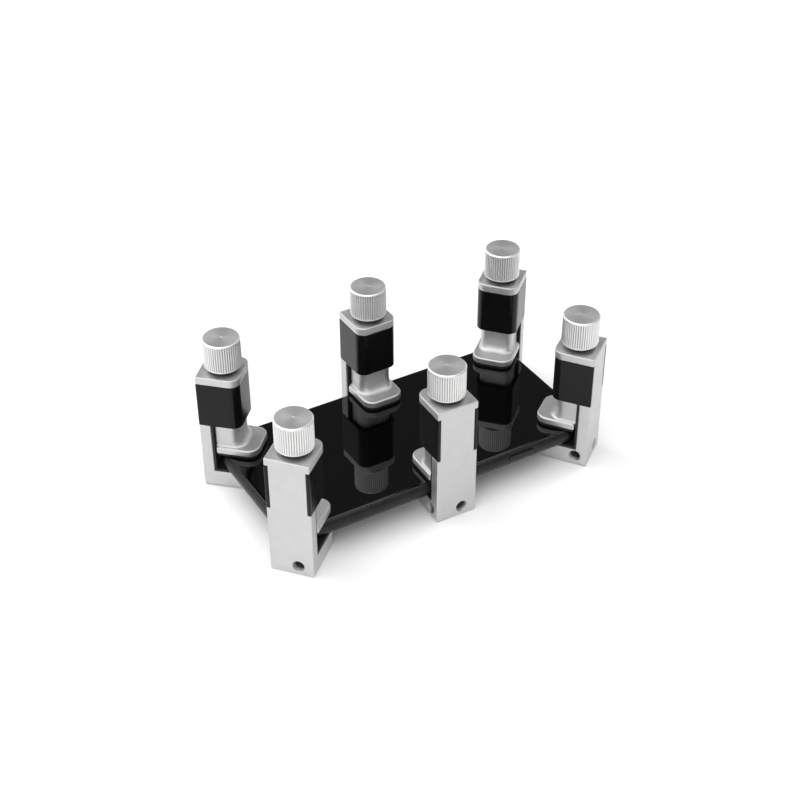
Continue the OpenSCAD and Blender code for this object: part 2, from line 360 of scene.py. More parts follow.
def cut(piece, cutters):
    """Takes the closed surfaces in cutters out of the piece."""
    tools = [new_mesh("cutter", c) for c in cutters]
    for tool in tools:
        step = piece.modifiers.new("cut", "BOOLEAN")
        step.operation = "DIFFERENCE"
        step.solver = "EXACT"
        step.object = tool
    before = closed_volume(piece.data)
    settle(piece)
    for tool in tools:
        discard(tool)
    if not 0 < closed_volume(piece.data) < before:
        raise RuntimeError(f"the cuts of {piece.name} took nothing away")


def give_values(piece, name, values):
    """One number for each vertex, under a name that the finishes read."""
    piece.data.attributes.new(name, "FLOAT", "POINT").data.foreach_set("value", values)


def discard(piece):
    """Removes a helper object and its mesh."""
    mesh = piece.data
    bpy.data.objects.remove(piece)
    bpy.data.meshes.remove(mesh)


def placed_copy(model, name, place):
    """A copy of a model in a clamp's own axes, with its vertices carried to the frame."""
    mesh = model.data.copy()
    mesh.name = name
    origin, u, v, up = clamp_axes(place)
    turn = np.eye(4)
    turn[:3] = np.c_[u, v, up, origin]
    mesh.transform(Matrix(turn.tolist()))
    return link(name, mesh)


def even_shading(piece):
    """Shades large faces flat and rounds between them: normals weighted by face area."""
    piece.data.polygons.foreach_set("use_smooth", np.ones(len(piece.data.polygons), bool))
    step = piece.modifiers.new("even shading", "WEIGHTED_NORMAL")
    step.weight = 60
    step.keep_sharp = False


def complete(piece, body, slot, *nodes):
    """Shades the piece, gives it its slot's finish and its body, and hides the CAD nodes it stands for."""
    even_shading(piece)
    piece.data.materials.clear()
    piece.data.materials.append(finish(slot))
    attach(piece, body)
    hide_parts(*nodes)


def on_screw_axis(surface):
    """A surface about the z axis, moved to the clamp's screw axis."""
    points, faces = surface
    return points + [SCREW_X, 0, 0], faces


def on_each_clamp(*pieces):
    """Pieces for each clamp from surfaces in a clamp's own axes. Each is given by its name, surface, body,
    slot and CAD node, and by a dict of values for its vertices if its finish reads any."""
    for place in PLACES:
        for name, surface, body, slot, node, *values in pieces:
            points, faces = surface
            piece = new_mesh(f"{place}_{name}", (to_frame(points, place), faces))
            for attribute, numbers in dict(*values).items():
                give_values(piece, attribute, numbers)
            complete(piece, f"{place}_{body}", slot, f"{place}_{node}")


# Finishes

def map_range(nodes, links, source, low, high, to_low, to_high, ramp="LINEAR"):
    """The source carried from the range low..high to to_low..to_high, clamped at its ends."""
    node = nodes.new("ShaderNodeMapRange")
    node.interpolation_type = ramp
    for socket, value in zip(node.inputs[1:5], (low, high, to_low, to_high)):
        socket.default_value = value
    links.new(source, node.inputs["Value"])
    return node.outputs["Result"]


class Finish:
    """A material's node tree, with short calls for the nodes that the finishes share."""

    def __init__(self, name):
        self.material = bpy.data.materials.new(name + "_finish")
        self.material.use_nodes = True
        self.nodes = self.material.node_tree.nodes
        self.links = self.material.node_tree.links
        self.shader = self.nodes["Principled BSDF"]
        self.coords = self.nodes.new("ShaderNodeTexCoord").outputs["Object"]

    def set(self, **sockets):
        """Constants on the shader's own sockets; an underscore in a name stands for a space."""
        for name, value in sockets.items():
            self.shader.inputs[name.replace("_", " ")].default_value = value

    def noise(self, scale, detail, rough, stretch=None):
        """A noise between 0 and 1, of scale waves a metre, stretched along the axes if asked."""
        node = self.nodes.new("ShaderNodeTexNoise")
        node.inputs["Scale"].default_value = scale
        node.inputs["Detail"].default_value = detail
        node.inputs["Roughness"].default_value = rough
        source = self.coords
        if stretch:
            mapping = self.nodes.new("ShaderNodeMapping")
            mapping.inputs["Scale"].default_value = stretch
            self.links.new(source, mapping.inputs["Vector"])
            source = mapping.outputs["Vector"]
        self.links.new(source, node.inputs["Vector"])
        return node.outputs["Fac"]

    def band(self, source, low, high, to_low=0.0, to_high=1.0):
        """The source carried from the range low..high to to_low..to_high, clamped at its ends."""
        return map_range(self.nodes, self.links, source, low, high, to_low, to_high)

    def math(self, operation, a, b):
        """A sum, product and so on of two sources."""
        node = self.nodes.new("ShaderNodeMath")
        node.operation = operation
        for socket, value in zip(node.inputs, (a, b)):
            self.links.new(value, socket)
        return node.outputs[0]

    def blend_colour(self, factor, a, b):
        """Colour a where the factor is 0 and colour b where it is 1."""
        node = self.nodes.new("ShaderNodeMix")
        node.data_type = "RGBA"
        for socket, value in ((node.inputs[6], a), (node.inputs[7], b)):
            if isinstance(value, (tuple, list)):
                socket.default_value = (*value[:3], 1)
            else:
                self.links.new(value, socket)
        self.links.new(factor, node.inputs["Factor"])
        return node.outputs[2]

    def attribute(self, name):
        """The values that give_values stored under a name."""
        node = self.nodes.new("ShaderNodeAttribute")
        node.attribute_name = name
        return node.outputs["Fac"]

    def to(self, socket, source):
        """Links a source to one of the shader's sockets."""
        self.links.new(source, self.shader.inputs[socket])

    def tone(self, source, low, high, a, b, most=1.0):
        """Base colour from a to b as the source rises from low to high."""
        self.to("Base Color", self.blend_colour(self.band(source, low, high, 0.0, most), a, b))

    def gloss(self, first, second=None):
        """Roughness from a band, or the sum of two."""
        total = self.band(*first)
        self.to("Roughness", self.math("ADD", total, self.band(*second)) if second else total)

    def relief(self, *layers):
        """Bumps laid over one another, each from a source and its depth in metres."""
        normal = None
        for height, depth in layers:
            node = self.nodes.new("ShaderNodeBump")
            node.inputs["Distance"].default_value = depth
            self.links.new(height, node.inputs["Height"])
            if normal is not None:
                self.links.new(normal, node.inputs["Normal"])
            normal = node.outputs["Normal"]
        self.to("Normal", normal)


def shade(colour_value, factor):
    """The colour made darker or lighter by a factor."""
    return tuple(min(1.0, c * factor) for c in colour_value)


def blasted_aluminium(f, base):
    """Bead-blasted, clear-anodised aluminium: fine grain, pores, and faint clouds in tone and gloss. Painted
    shade darkens it down the tapped holes, by the vertex attribute bore."""
    f.set(Metallic=1.0)
    clouds = f.noise(170, 3, 0.6)
    grain = f.noise(2600, 2, 0.6)
    pores = f.noise(900, 4, 0.75)
    tint = f.blend_colour(f.band(clouds, 0.3, 0.7), shade(base, 0.95), shade(base, 1.03))
    tint = f.blend_colour(f.band(grain, 0.3, 0.7, 0.0, 0.35), tint, shade(base, 0.8))
    tint = f.blend_colour(f.band(pores, 0.62, 0.8, 0.0, 0.4), tint, shade(base, 0.75))
    # painted shade: the colour darkens down the tapped holes, by the bore attribute
    f.to("Base Color", f.blend_colour(f.attribute("bore"), tint, shade(base, 0.1)))
    f.gloss((clouds, 0.3, 0.7, 0.46, 0.52), (grain, 0.3, 0.7, -0.03, 0.04))
    f.relief((grain, 0.009 * MM), (pores, 0.012 * MM))


def turned_aluminium(f, base):
    """Turned aluminium of the knobs: fine rings on the top from the lathe, and painted shade that darkens the
    floor between the ridges by the vertex attribute groove. The rings follow the vertex attribute
    lathe_radius, the distance from the knob's axis in millimetres."""
    f.set(Metallic=1.0, Anisotropic=0.35)
    rings = f.nodes.new("ShaderNodeTexNoise")
    rings.noise_dimensions = "1D"
    rings.inputs["Scale"].default_value = 9.0
    rings.inputs["Detail"].default_value = 3.0
    f.links.new(f.attribute("lathe_radius"), rings.inputs["W"])
    clouds = f.noise(240, 3, 0.6)
    grain = f.noise(3000, 2, 0.6)
    tint = f.blend_colour(f.band(clouds, 0.3, 0.7), shade(base, 0.93), shade(base, 1.02))
    # painted shade: the knurl's groove floors darkened by the groove attribute
    f.tone(f.attribute("groove"), 0.1, 0.9, tint, shade(base, 0.5))
    f.gloss((rings.outputs["Fac"], 0.3, 0.7, 0.38, 0.46), (grain, 0.3, 0.7, -0.03, 0.03))
    f.relief((rings.outputs["Fac"], 0.012 * MM), (grain, 0.003 * MM))


def moulded_plastic(f, base):
    """Glossy black moulded plastic: faint flow marks in the gloss and a few fine scuffs."""
    f.set(IOR=1.5, Specular_IOR_Level=0.22)
    flow = f.noise(260, 3, 0.5, stretch=(1, 1, 0.35))
    scuffs = f.noise(1500, 2, 0.7, stretch=(1, 1, 0.12))
    f.tone(flow, 0.3, 0.7, base, shade(base, 1.5))
    f.gloss((flow, 0.3, 0.7, 0.12, 0.2), (scuffs, 0.62, 0.8, 0.0, 0.14))
    f.relief((flow, 0.02 * MM))


def soft_rubber(f, base):
    """Matt black silicone rubber with a fine skin and a trace of dust."""
    f.set(IOR=1.45)
    skin = f.noise(1800, 3, 0.7)
    dust = f.noise(420, 4, 0.7)
    f.tone(dust, 0.55, 0.85, base, shade(base, 3), 0.5)
    f.gloss((skin, 0.3, 0.7, 0.55, 0.72))
    f.relief((skin, 0.015 * MM))


def washer_plastic(f, base):
    """Turned black acetal of the washers: satin, with a faint lathe grain."""
    f.set(IOR=1.48)
    grain = f.noise(1400, 3, 0.6, stretch=(1, 1, 4))
    f.tone(grain, 0.35, 0.7, base, shade(base, 2))
    f.gloss((grain, 0.3, 0.7, 0.32, 0.46))
    f.relief((grain, 0.006 * MM))


def bright_steel(f):
    """Bright steel of the lead screws and clips, with fine cutting marks across the axis and grey oil
    stains."""
    f.set(Metallic=1.0)
    marks = f.noise(1600, 3, 0.6, stretch=(0.2, 0.2, 3))
    stain = f.noise(320, 3, 0.6)
    f.tone(stain, 0.4, 0.75, (0.6, 0.6, 0.61), (0.4, 0.39, 0.38))
    f.gloss((marks, 0.3, 0.7, 0.2, 0.38))
    f.relief((marks, 0.006 * MM))


def anodised_side(f, base):
    """Dark grey anodised side of the slab: satin, with a fine grain and faint wear, and a painted highlight:
    a lighter band of base colour along the top rim beside the glass."""
    f.set(Metallic=0.9)
    grain = f.noise(2400, 3, 0.6)
    wear = f.noise(190, 4, 0.65)
    height = f.nodes.new("ShaderNodeSeparateXYZ")
    f.links.new(f.coords, height.inputs["Vector"])
    # painted highlight: base colour made lighter along the rim beside the glass
    painted_rim_highlight = f.band(height.outputs["Z"], GLASS_HIGH[2] - 0.75 * MM, GLASS_HIGH[2] - 0.45 * MM)
    tint = f.blend_colour(f.band(wear, 0.35, 0.7), shade(base, 0.85), shade(base, 1.2))
    f.to("Base Color", f.blend_colour(painted_rim_highlight, tint, shade(base, 7)))
    f.gloss((wear, 0.3, 0.7, 0.34, 0.42), (grain, 0.3, 0.7, -0.04, 0.04))
    f.relief((grain, 0.004 * MM))


def black_glass(f, base):
    """Polished glass over a black panel: nearly a mirror, with a thin film of finger marks in its gloss."""
    f.set(IOR=1.5, Coat_Weight=0.0)
    film = f.noise(60, 4, 0.7)
    smears = f.noise(260, 3, 0.6, stretch=(1, 0.4, 1))
    f.tone(film, 0.4, 0.8, base, shade(base, 2), 0.4)
    f.gloss((film, 0.45, 0.8, 0.008, 0.03), (smears, 0.6, 0.85, 0.0, 0.03))
    f.relief((f.noise(35, 1, 0.4), 0.0015 * MM))


def panel_film(f):
    """Dark backing film of the display panel, with faint printed grain."""
    f.set(IOR=1.45)
    grain = f.noise(900, 3, 0.6)
    f.tone(grain, 0.35, 0.7, (0.03, 0.034, 0.04), (0.05, 0.055, 0.06))
    f.gloss((grain, 0.3, 0.7, 0.4, 0.55))


def cured_adhesive(f):
    """Pale cured adhesive, slightly clear, with an uneven skin."""
    f.set(IOR=1.45)
    skin = f.noise(500, 3, 0.6)
    f.tone(skin, 0.3, 0.7, (0.7, 0.68, 0.6), (0.8, 0.78, 0.7))
    f.gloss((skin, 0.3, 0.7, 0.25, 0.4))
    f.relief((skin, 0.05 * MM))


def floor_paper(f, base):
    """Plain white studio paper, with a tooth too fine to see from afar."""
    f.set(IOR=1.3)
    tooth = f.noise(600, 3, 0.6)
    f.to("Base Color", f.blend_colour(tooth, shade(base, 0.995), base))
    f.gloss((tooth, 0.3, 0.7, 0.75, 0.85))


# by slot of the record: the maker of its finish, and the property that holds its colour if it has one
FINISHES = {
    "satin_aluminium": (blasted_aluminium, "aluminium"),
    "turned_aluminium": (turned_aluminium, "knob"),
    "sleeve_plastic": (moulded_plastic, "sleeve"),
    "black_rubber": (soft_rubber, "rubber"),
    "washer_plastic": (washer_plastic, "rubber"),
    "anodised_housing": (anodised_side, "housing"),
    "black_glass": (black_glass, "glass"),
    "bright_steel": (bright_steel,),
    "panel_film": (panel_film,),
    "adhesive": (cured_adhesive,),
    "studio_paper": (floor_paper, "paper"),
}


def finish(name):
    """The finish for a slot of the record, made the first time that it is asked for."""
    if name + "_finish" in bpy.data.materials:
        return bpy.data.materials[name + "_finish"]
    maker, *colour_name = FINISHES[name]
    f = Finish(name)
    maker(f, *(tuple(getattr(bpy.context.scene.clamp_colours, c)) for c in colour_name))
    return f.material


# Shapes of one clamp, in its own axes

def frame_levels(s):
    """The frame as levels of plan outlines: the base arm, the column, its neck and the top plate. Walls
    rise from outline to outline within a level. Each outline starts with the four back points and the two
    at the column's front, so that levels share them, and returns points and faces of one closed block."""
    high = BOX["frame"][1]
    sleeve_low, sleeve_high = BOX["guide_sleeve"][0][2], BOX["guide_sleeve"][1][2]
    half, neck = high[1], high[1] - s.sleeve_wall
    quarter = np.linspace(0, math.pi / 2, 9)
    r = s.front_radius

    def front(reach):
        """Front end of a plate from the right side round to the left."""
        right = np.c_[reach - r + r * np.sin(quarter), -half + r - r * np.cos(quarter)]
        return np.vstack([right, right[::-1] * [1, -1]])

    back = np.array([[0, half], [0, neck], [0, -neck], [0, -half]])
    inner = np.array([[s.column, -half], [s.column, -neck], [s.column, neck], [s.column, half]])
    arm, plate = front(high[0]), front(plate_reach())
    points = []

    def add(plan, z):
        """Adds a row of points at height z and gives back their numbers."""
        start = sum(len(p) for p in points)
        points.append(at_height(plan, z))
        return list(range(start, start + len(plan)))

    b0, a0 = add(np.where(np.abs(back) == neck, back * 0.4, back), 0), add(arm, 0)
    b1, i1, a1 = add(back, s.arm), add(inner, s.arm), add(arm, s.arm)
    b2, i2 = add(back, sleeve_low), add(inner, sleeve_low)
    b3, i3, p3 = add(back, sleeve_high), add(inner, sleeve_high), add(plate, sleeve_high)
    b4, p4 = add(back, high[2]), add(plate, high[2])

    def wall(lower, upper):
        """Quads between two rows of points, from left to right."""
        return [[lower[k], lower[k + 1], upper[k + 1], upper[k]] for k in range(len(lower) - 1)]

    faces = [
        # base arm: underside, back, sides and round front, then its top in front of the column
        b0[::-1] + a0[::-1],
        *wall(b0, b1),
        [b0[3], a0[0], a1[0], i1[0], b1[3]],
        *wall(a0, a1),
        [a0[-1], b0[0], b1[0], i1[3], a1[-1]],
        a1 + i1[::-1],
        # column up to the sleeve, with the two small floors of the neck
        *wall(b1, b2),
        [b1[3], i1[0], i2[0], b2[3]],
        [i1[3], b1[0], b2[0], i2[3]],
        *wall(i1, i2),
        [b2[0], b2[1], i2[2], i2[3]],
        [b2[3], i2[0], i2[1], b2[2]],
        # neck
        [b2[1], b2[2], b3[2], b3[1]],
        [i2[1], i2[2], i3[2], i3[1]],
        [b2[2], i2[1], i3[1], b3[2]],
        [i2[2], b2[1], b3[1], i3[2]],
        # top plate
        [b3[0], b3[1], i3[2], i3[1], b3[2], b3[3]][::-1] + p3[::-1],
        *wall(b3, b4),
        [b3[3], p3[0], p4[0], b4[3]],
        *wall(p3, p4),
        [p3[-1], b3[0], b4[0], p4[-1]],
        b4 + p4,
    ]
    return np.vstack(points), faces


def plate_reach():
    """How far the top plate reaches forward: the frame's highest vertices show it."""
    points = own_points("frame")
    return points[points[:, 2] > BOX["frame"][1][2] - 0.1 * MM][:, 0].max()


def tapped_hole(s, mouth, inward, depth):
    """Cutter for a tapped hole: a countersink at the mouth, a thread along the hole and a blunt end."""
    n = 40
    rise = 0.4 * MM
    slope = s.tap_mouth - s.tap_minor
    start = polar([s.tap_mouth + rise, s.tap_major - 0.15 * MM], [-rise, slope - 0.25 * MM], n)
    thread = thread_rings(s.tap_minor, s.tap_major, s.tap_pitch, slope, depth - 0.6 * MM, n)
    end = polar([s.tap_minor, s.tap_minor * 0.95], [depth - 0.5 * MM, depth], n)
    points, faces = stack(np.concatenate([start, thread, end]))
    return mouth + points @ np.array([np.cross(UP, inward), UP, inward]), faces


def jaw_surface(s):
    """The jaw as one stack of outlines: the foot with rounded edges, hollow coves up to the stem, the stem,
    and the bore for the screw going back down from its top."""
    low, high = BOX["jaw"]
    stem_half = s.stem_width / 2
    foot_top = low[2] + s.foot
    foot_back = BOX["jaw_pad"][0][0] - 0.3 * MM
    stem_back = low[0]

    def foot(inset):
        return outline(foot_back + inset, high[0] - inset, high[1] - inset, s.foot_radius - inset, 0.5 * MM)

    rings = slab_rings(foot, low[2], foot_top, 0.25 * MM, s.foot_edge)
    for lean in np.linspace(0, math.pi / 2, 13):
        rise = s.front_cove * (1 - math.cos(lean))
        ahead = s.front_cove * (1 - math.sin(lean))
        below = min(rise, s.side_cove)
        aside = s.side_cove - math.sqrt(max(0.0, s.side_cove ** 2 - (s.side_cove - below) ** 2))
        corner = s.stem_radius + 0.5 * (ahead + aside)
        plan = outline(stem_back, s.stem_front + ahead, stem_half + aside, corner, 0.4 * MM)
        rings.append(at_height(plan, foot_top + rise))

    def stem(inset):
        return outline(stem_back + inset, s.stem_front - inset, stem_half - inset, s.stem_radius - inset,
                       0.4 * MM)

    rings += [at_height(stem(i), high[2] - 0.35 * MM + h) for h, i in rounding(0.35 * MM)]
    screw_r = bpy.context.scene.knob_sizes.screw_radius
    flat = rings[-1][:, :2] - [SCREW_X, 0]
    turn = np.arctan2(flat[:, 1], flat[:, 0])
    for r, z in ((screw_r + 0.5 * MM, high[2]), (screw_r + 0.2 * MM, high[2] - 0.45 * MM),
                 (screw_r + 0.2 * MM, low[2] + 1.5 * MM)):
        plan = np.c_[SCREW_X + r * np.cos(turn), r * np.sin(turn)]
        rings.append(at_height(plan, z))
    return stack(rings)


def plate_surface(box, front_r, edge, back_r=0.3 * MM):
    """A D-shaped plate with rounded edges that fills a box."""
    low, high = box

    def shape(inset):
        return outline(low[0] + inset, high[0] - inset, high[1] - inset, front_r - inset,
                       back_r + edge - inset)

    return stack(slab_rings(shape, low[2], high[2], edge, edge))


def liner_surface(s):
    """The rubber liner as a stack of outlines: a D-shaped sheet on the arm, then a strip up the column."""
    low, high = BOX["liner"]
    edge = 0.2 * MM
    gap = 0.02 * MM

    def sheet(inset):
        return outline(low[0] + gap, high[0] - inset, high[1] - inset, s.front_radius - 0.3 * MM - inset, gap)

    def strip(inset):
        return outline(low[0] + gap, low[0] + s.liner - inset, high[1] - inset, 0.2 * MM, gap)

    rings = [at_height(sheet(edge), low[2] + gap), at_height(sheet(0), low[2] + edge)]
    rings += [at_height(sheet(i), low[2] + s.liner - edge + h) for h, i in rounding(edge)]
    rings += [at_height(strip(0), low[2] + s.liner + d) for d in (0.01 * MM, 0.4 * MM)]
    rings += [at_height(strip(i * 0.9), high[2] - edge + h) for h, i in rounding(edge)]
    return stack(rings)


def sleeve_surface(s):
    """The guide sleeve: a rounded rectangle, as thick as the wall and as tall as the sleeve, carried along
    a U in plan from one back edge round the front to the other."""
    low, high = BOX["guide_sleeve"]
    wall = s.sleeve_wall / 2
    r = s.sleeve_radius - wall
    mid = high[1] - wall
    reach = high[0] - wall
    turn = np.linspace(0, math.pi / 2, 13)
    right = np.c_[reach - r + r * np.sin(turn), -mid + r - r * np.cos(turn)]
    side = np.c_[np.linspace(0, reach - r, 9)[:-1], np.full(8, -mid)]
    half_path = np.vstack([side, right])
    path = np.vstack([half_path, half_path[::-1] * [1, -1]])
    tangent = np.gradient(path, axis=0)
    tangent /= np.linalg.norm(tangent, axis=1)[:, None]
    tangent[0], tangent[-1] = (1, 0), (-1, 0)
    normal = np.c_[tangent[:, 1], -tangent[:, 0]]
    edge = 0.28 * MM
    corner = np.linspace(0, math.pi / 2, 5)
    section = []
    for k, (a, b) in enumerate([(1, 1), (-1, 1), (-1, -1), (1, -1)]):
        lean = corner + k * math.pi / 2
        section.append(np.c_[a * (wall - edge) + edge * np.cos(lean),
                             b * ((high[2] - low[2]) / 2 - edge) + edge * np.sin(lean)])
    section = np.vstack(section)
    height = (low[2] + high[2]) / 2
    rings = np.concatenate([
        path[:, None, :] + normal[:, None, :] * section[None, :, :1],
        np.broadcast_to(height + section[:, 1][None, :, None], (len(path), len(section), 1)),
    ], axis=2)
    ends = [ring.mean(0) + (ring - ring.mean(0)) * [1, 0.8, 0.99] for ring in (rings[0], rings[-1])]
    rings[0][:, 0] += 0.12 * MM
    rings[-1][:, 0] += 0.12 * MM
    return stack(np.concatenate([ends[:1], rings, ends[1:]]))


def knob_surface(k):
    """The knob as rings about its axis: a bore below, a chamfered rim, the knurl, a second rim, the turned
    top and a small dimple. In the knurl the radius is the rim's less the tooth depth times 1 - |sin(teeth
    turn / 2)| ^ 0.9, faded in and out at its ends. Also gives each point's distance from the axis and how
    deep in a groove it lies."""
    low, high = BOX["knob"]
    radius = (high[0] - low[0]) / 2
    n = k.teeth * 8
    turn = np.linspace(0, 2 * math.pi, n, endpoint=False)
    z0, z1 = low[2], high[2]
    c = k.chamfer
    bore_top = BOX["lead_screw"][1][2] + 0.05 * MM
    bore = k.screw_radius + 0.02 * MM
    soft = 0.12 * MM
    profile = [(bore * 0.5, bore_top, 0), (bore, bore_top, 0), (bore, z0, 0), (radius - c - soft, z0, 0),
               (radius - c, z0 + 0.02 * MM, 0), (radius - 0.06 * MM, z0 + c * 0.9, 0),
               (radius, z0 + c * 1.15, 0)]
    start, stop = z0 + k.rim, z1 - k.rim
    fade = 0.35 * MM
    profile += [(radius, z, w) for z, w in (
        (start - 0.1 * MM, 0), (start, 0.1), (start + fade * 0.4, 0.6), (start + fade, 1),
        (start + (stop - start) * 0.35, 1), (start + (stop - start) * 0.7, 1), (stop - fade, 1),
        (stop - fade * 0.4, 0.6), (stop, 0.1), (stop + 0.1 * MM, 0))]
    profile += [(radius, z1 - c * 1.05, 0), (radius - 0.05 * MM, z1 - c * 0.8, 0),
                (radius - c * 0.85, z1 - 0.04 * MM, 0), (radius - c, z1, 0)]
    profile += [(r, z1 - 0.03 * MM * (1 - r / radius), 0)
                for r in (radius - c - soft, 5.2 * MM, 3.4 * MM, 1.8 * MM, 0.9 * MM)]
    profile += [(0.5 * MM, z1 - 0.035 * MM, 0), (0.3 * MM, z1 - 0.1 * MM, 0), (0.1 * MM, z1 - 0.13 * MM, 0)]
    r, z, weight = np.array(profile).T
    depth = weight[:, None] * (1 - np.abs(np.sin(turn * k.teeth / 2)) ** 0.9)[None, :]
    rr = r[:, None] - k.tooth_depth * depth
    rings = np.stack([rr * np.cos(turn), rr * np.sin(turn), np.broadcast_to(z[:, None], rr.shape)], -1)
    points, faces = stack(rings)
    lathe = np.append(rr.ravel(), [0, 0]) / MM
    return (points, faces), lathe, np.append(depth.ravel(), [0, 0])


def screw_surface(k):
    """The lead screw: a tapered point, a full thread, a plain groove for the clip and a plain shank in the
    knob."""
    low, high = BOX["lead_screw"]
    plate_low = BOX["guide_sleeve"][1][2]
    n = 32
    r = k.screw_radius
    core = r - 0.4 * MM
    start = polar([core * 0.7, core], [low[2], low[2] + 0.3 * MM], n)
    thread = thread_rings(core, r - 0.02 * MM, k.screw_lead, low[2] + 0.4 * MM, plate_low - 1.2 * MM, n, 5)
    end = polar([core, r - 0.01 * MM, r - 0.01 * MM, core, core, r - 0.01 * MM, r - 0.01 * MM, r - 0.3 * MM],
                [plate_low - 1.1 * MM, plate_low - 1.05 * MM, plate_low - 0.95 * MM, plate_low - 0.9 * MM,
                 plate_low, plate_low + 0.05 * MM, high[2] - 0.3 * MM, high[2]], n)
    return stack(np.concatenate([start, thread, end]))


def washer_surface():
    """The washer: a rounded rectangle carried round the screw's axis."""
    low, high = BOX["thrust_washer"]
    outer = (high[0] - low[0]) / 2
    bore = SCREW_RADIUS + 0.08 * MM
    e = 0.2 * MM
    gap = 0.01 * MM
    r = [outer - e, outer - e * 0.3, outer, outer, outer - e * 0.3, outer - e, bore + e, bore, bore, bore + e]
    z = [low[2] + gap, low[2] + e * 0.3, low[2] + e, high[2] - e, high[2] - e * 0.3, high[2],
         high[2], high[2] - e, low[2] + e, low[2] + gap]
    return loop(polar(r, z, 64))


# Operators, one for each group of like pieces

class BuildFrames(Operator):
    """Milled aluminium frames with rounded edges and tapped holes"""
    bl_idname = "screen_clamps.frames"
    bl_label = "Frames"

    def execute(self, context):
        model = self.model(context.scene.clamp_sizes)
        for place in PLACES:
            piece = placed_copy(model, place + "_milled_frame", place)
            complete(piece, place + "_clamp", "satin_aluminium", place + "_frame")
        discard(model)
        return {"FINISHED"}

    def model(self, s):
        """One frame in a clamp's own axes, bevelled and drilled."""
        points, faces = frame_levels(s)
        mesh = bpy.data.meshes.new("frame_model")
        mesh.from_pydata(points.tolist(), [], faces)
        piece = link("frame_model", mesh)
        self.weigh_edges(mesh, points, s)
        step = piece.modifiers.new("edges", "BEVEL")
        step.limit_method = "WEIGHT"
        step.width = s.base_edge
        step.segments = 4
        step.use_clamp_overlap = False
        settle(piece)
        levels = [BOX["guide_sleeve"][1][2] - MM, BOX["frame"][1][2] + MM]
        bore = SCREW_RADIUS + 0.12 * MM
        plate_bore = on_screw_axis(stack(polar([bore, bore], levels, 48)))
        cut(piece, [tapped_hole(s, *BACK_HOLE), tapped_hole(s, *SIDE_HOLE), plate_bore])
        depths = [self.depth(piece, s, *hole) for hole in (BACK_HOLE, SIDE_HOLE)]
        # bore: how deep in a hole each vertex lies, which the finish turns into painted shade
        give_values(piece, "bore", np.maximum(*depths))
        return piece

    def depth(self, piece, s, mouth, inward, depth):
        """How deep each vertex lies in a hole, from 0 at its mouth to 1 at 2.5 mm and beyond, and 0 outside
        it."""
        offset = mesh_points(piece.data) - mouth
        deep = offset @ inward
        away = np.linalg.norm(offset - deep[:, None] * inward, axis=1)
        within = (away < s.tap_mouth * 1.03) & (deep < depth * 1.02)
        return np.where(within, np.clip(deep / (2.5 * MM), 0, 1), 0)

    def weigh_edges(self, mesh, points, s):
        """Weights for the bevel, as shares of the base edge's radius: the edge under the arm is fully
        rounded along both sides and round the front, and every other outer edge between faces that turn by
        more than 30 degrees gets the small radius. Inner corners stay sharp, since the liner and the sleeve
        sit in them."""
        solid = bmesh.new()
        solid.from_mesh(mesh)
        solid.verts.ensure_lookup_table()
        layer = solid.edges.layers.float.new("bevel_weight_edge")
        small = s.edge / s.base_edge
        for edge in solid.edges:
            if edge.calc_face_angle_signed(0) < math.radians(30):
                continue
            a, b = (points[v.index] for v in edge.verts)
            under_arm = max(a[2], b[2]) < 1e-6 and max(a[0], b[0]) > 1e-6
            edge[layer] = 1.0 if under_arm else small
        solid.to_mesh(mesh)
        solid.free()


class BuildSleeves(Operator):
    """Moulded guide sleeves round the necks of the columns"""
    bl_idname = "screen_clamps.sleeves"
    bl_label = "Guide sleeves"

    def execute(self, context):
        surface = sleeve_surface(context.scene.clamp_sizes)
        on_each_clamp(("moulded_sleeve", surface, "clamp", "sleeve_plastic", "guide_sleeve"))
        return {"FINISHED"}


class BuildLiners(Operator):
    """Rubber liners of the frames and rubber pads of the jaws"""
    bl_idname = "screen_clamps.liners"
    bl_label = "Liners and pads"

    def execute(self, context):
        s = context.scene.clamp_sizes
        pad = plate_surface(BOX["jaw_pad"], s.foot_radius - 0.3 * MM, 0.15 * MM)
        on_each_clamp(("rubber_liner", liner_surface(s), "clamp", "black_rubber", "liner"),
                      ("rubber_pad", pad, "jaw", "black_rubber", "jaw_pad"))
        return {"FINISHED"}


class BuildJaws(Operator):
    """Aluminium jaws with hollow coves between foot and stem"""
    bl_idname = "screen_clamps.jaws"
    bl_label = "Jaws"

    def execute(self, context):
        surface = jaw_surface(context.scene.clamp_sizes)
        on_each_clamp(("cast_jaw", surface, "jaw", "satin_aluminium", "jaw"))
        return {"FINISHED"}


class BuildKnobs(Operator):
    """Knurled knobs with turned tops"""
    bl_idname = "screen_clamps.knobs"
    bl_label = "Knobs"

    def execute(self, context):
        surface, lathe, groove = knob_surface(context.scene.knob_sizes)
        # groove feeds the knob finish's painted shade in the knurl
        on_each_clamp(("knurled_knob", on_screw_axis(surface), "drive", "turned_aluminium", "knob",
                       {"lathe_radius": lathe, "groove": groove}))
        return {"FINISHED"}


class BuildScrews(Operator):
    """Lead screws, their retaining clips and the washers under the knobs"""
    bl_idname = "screen_clamps.screws"
    bl_label = "Screws, clips and washers"

    def execute(self, context):
        screw = on_screw_axis(screw_surface(context.scene.knob_sizes))
        washer = on_screw_axis(washer_surface())
        on_each_clamp(("threaded_screw", screw, "drive", "bright_steel", "lead_screw"),
                      ("turned_washer", washer, "clamp", "washer_plastic", "thrust_washer"))
        for place in PLACES:
            paint(place + "_retaining_clip", "bright_steel")
        return {"FINISHED"}


def paint(node, name):
    """Gives a CAD node that stays in view its finish."""
    mesh = frame["nodes"][node].data
    mesh.materials.clear()
    mesh.materials.append(finish(name))


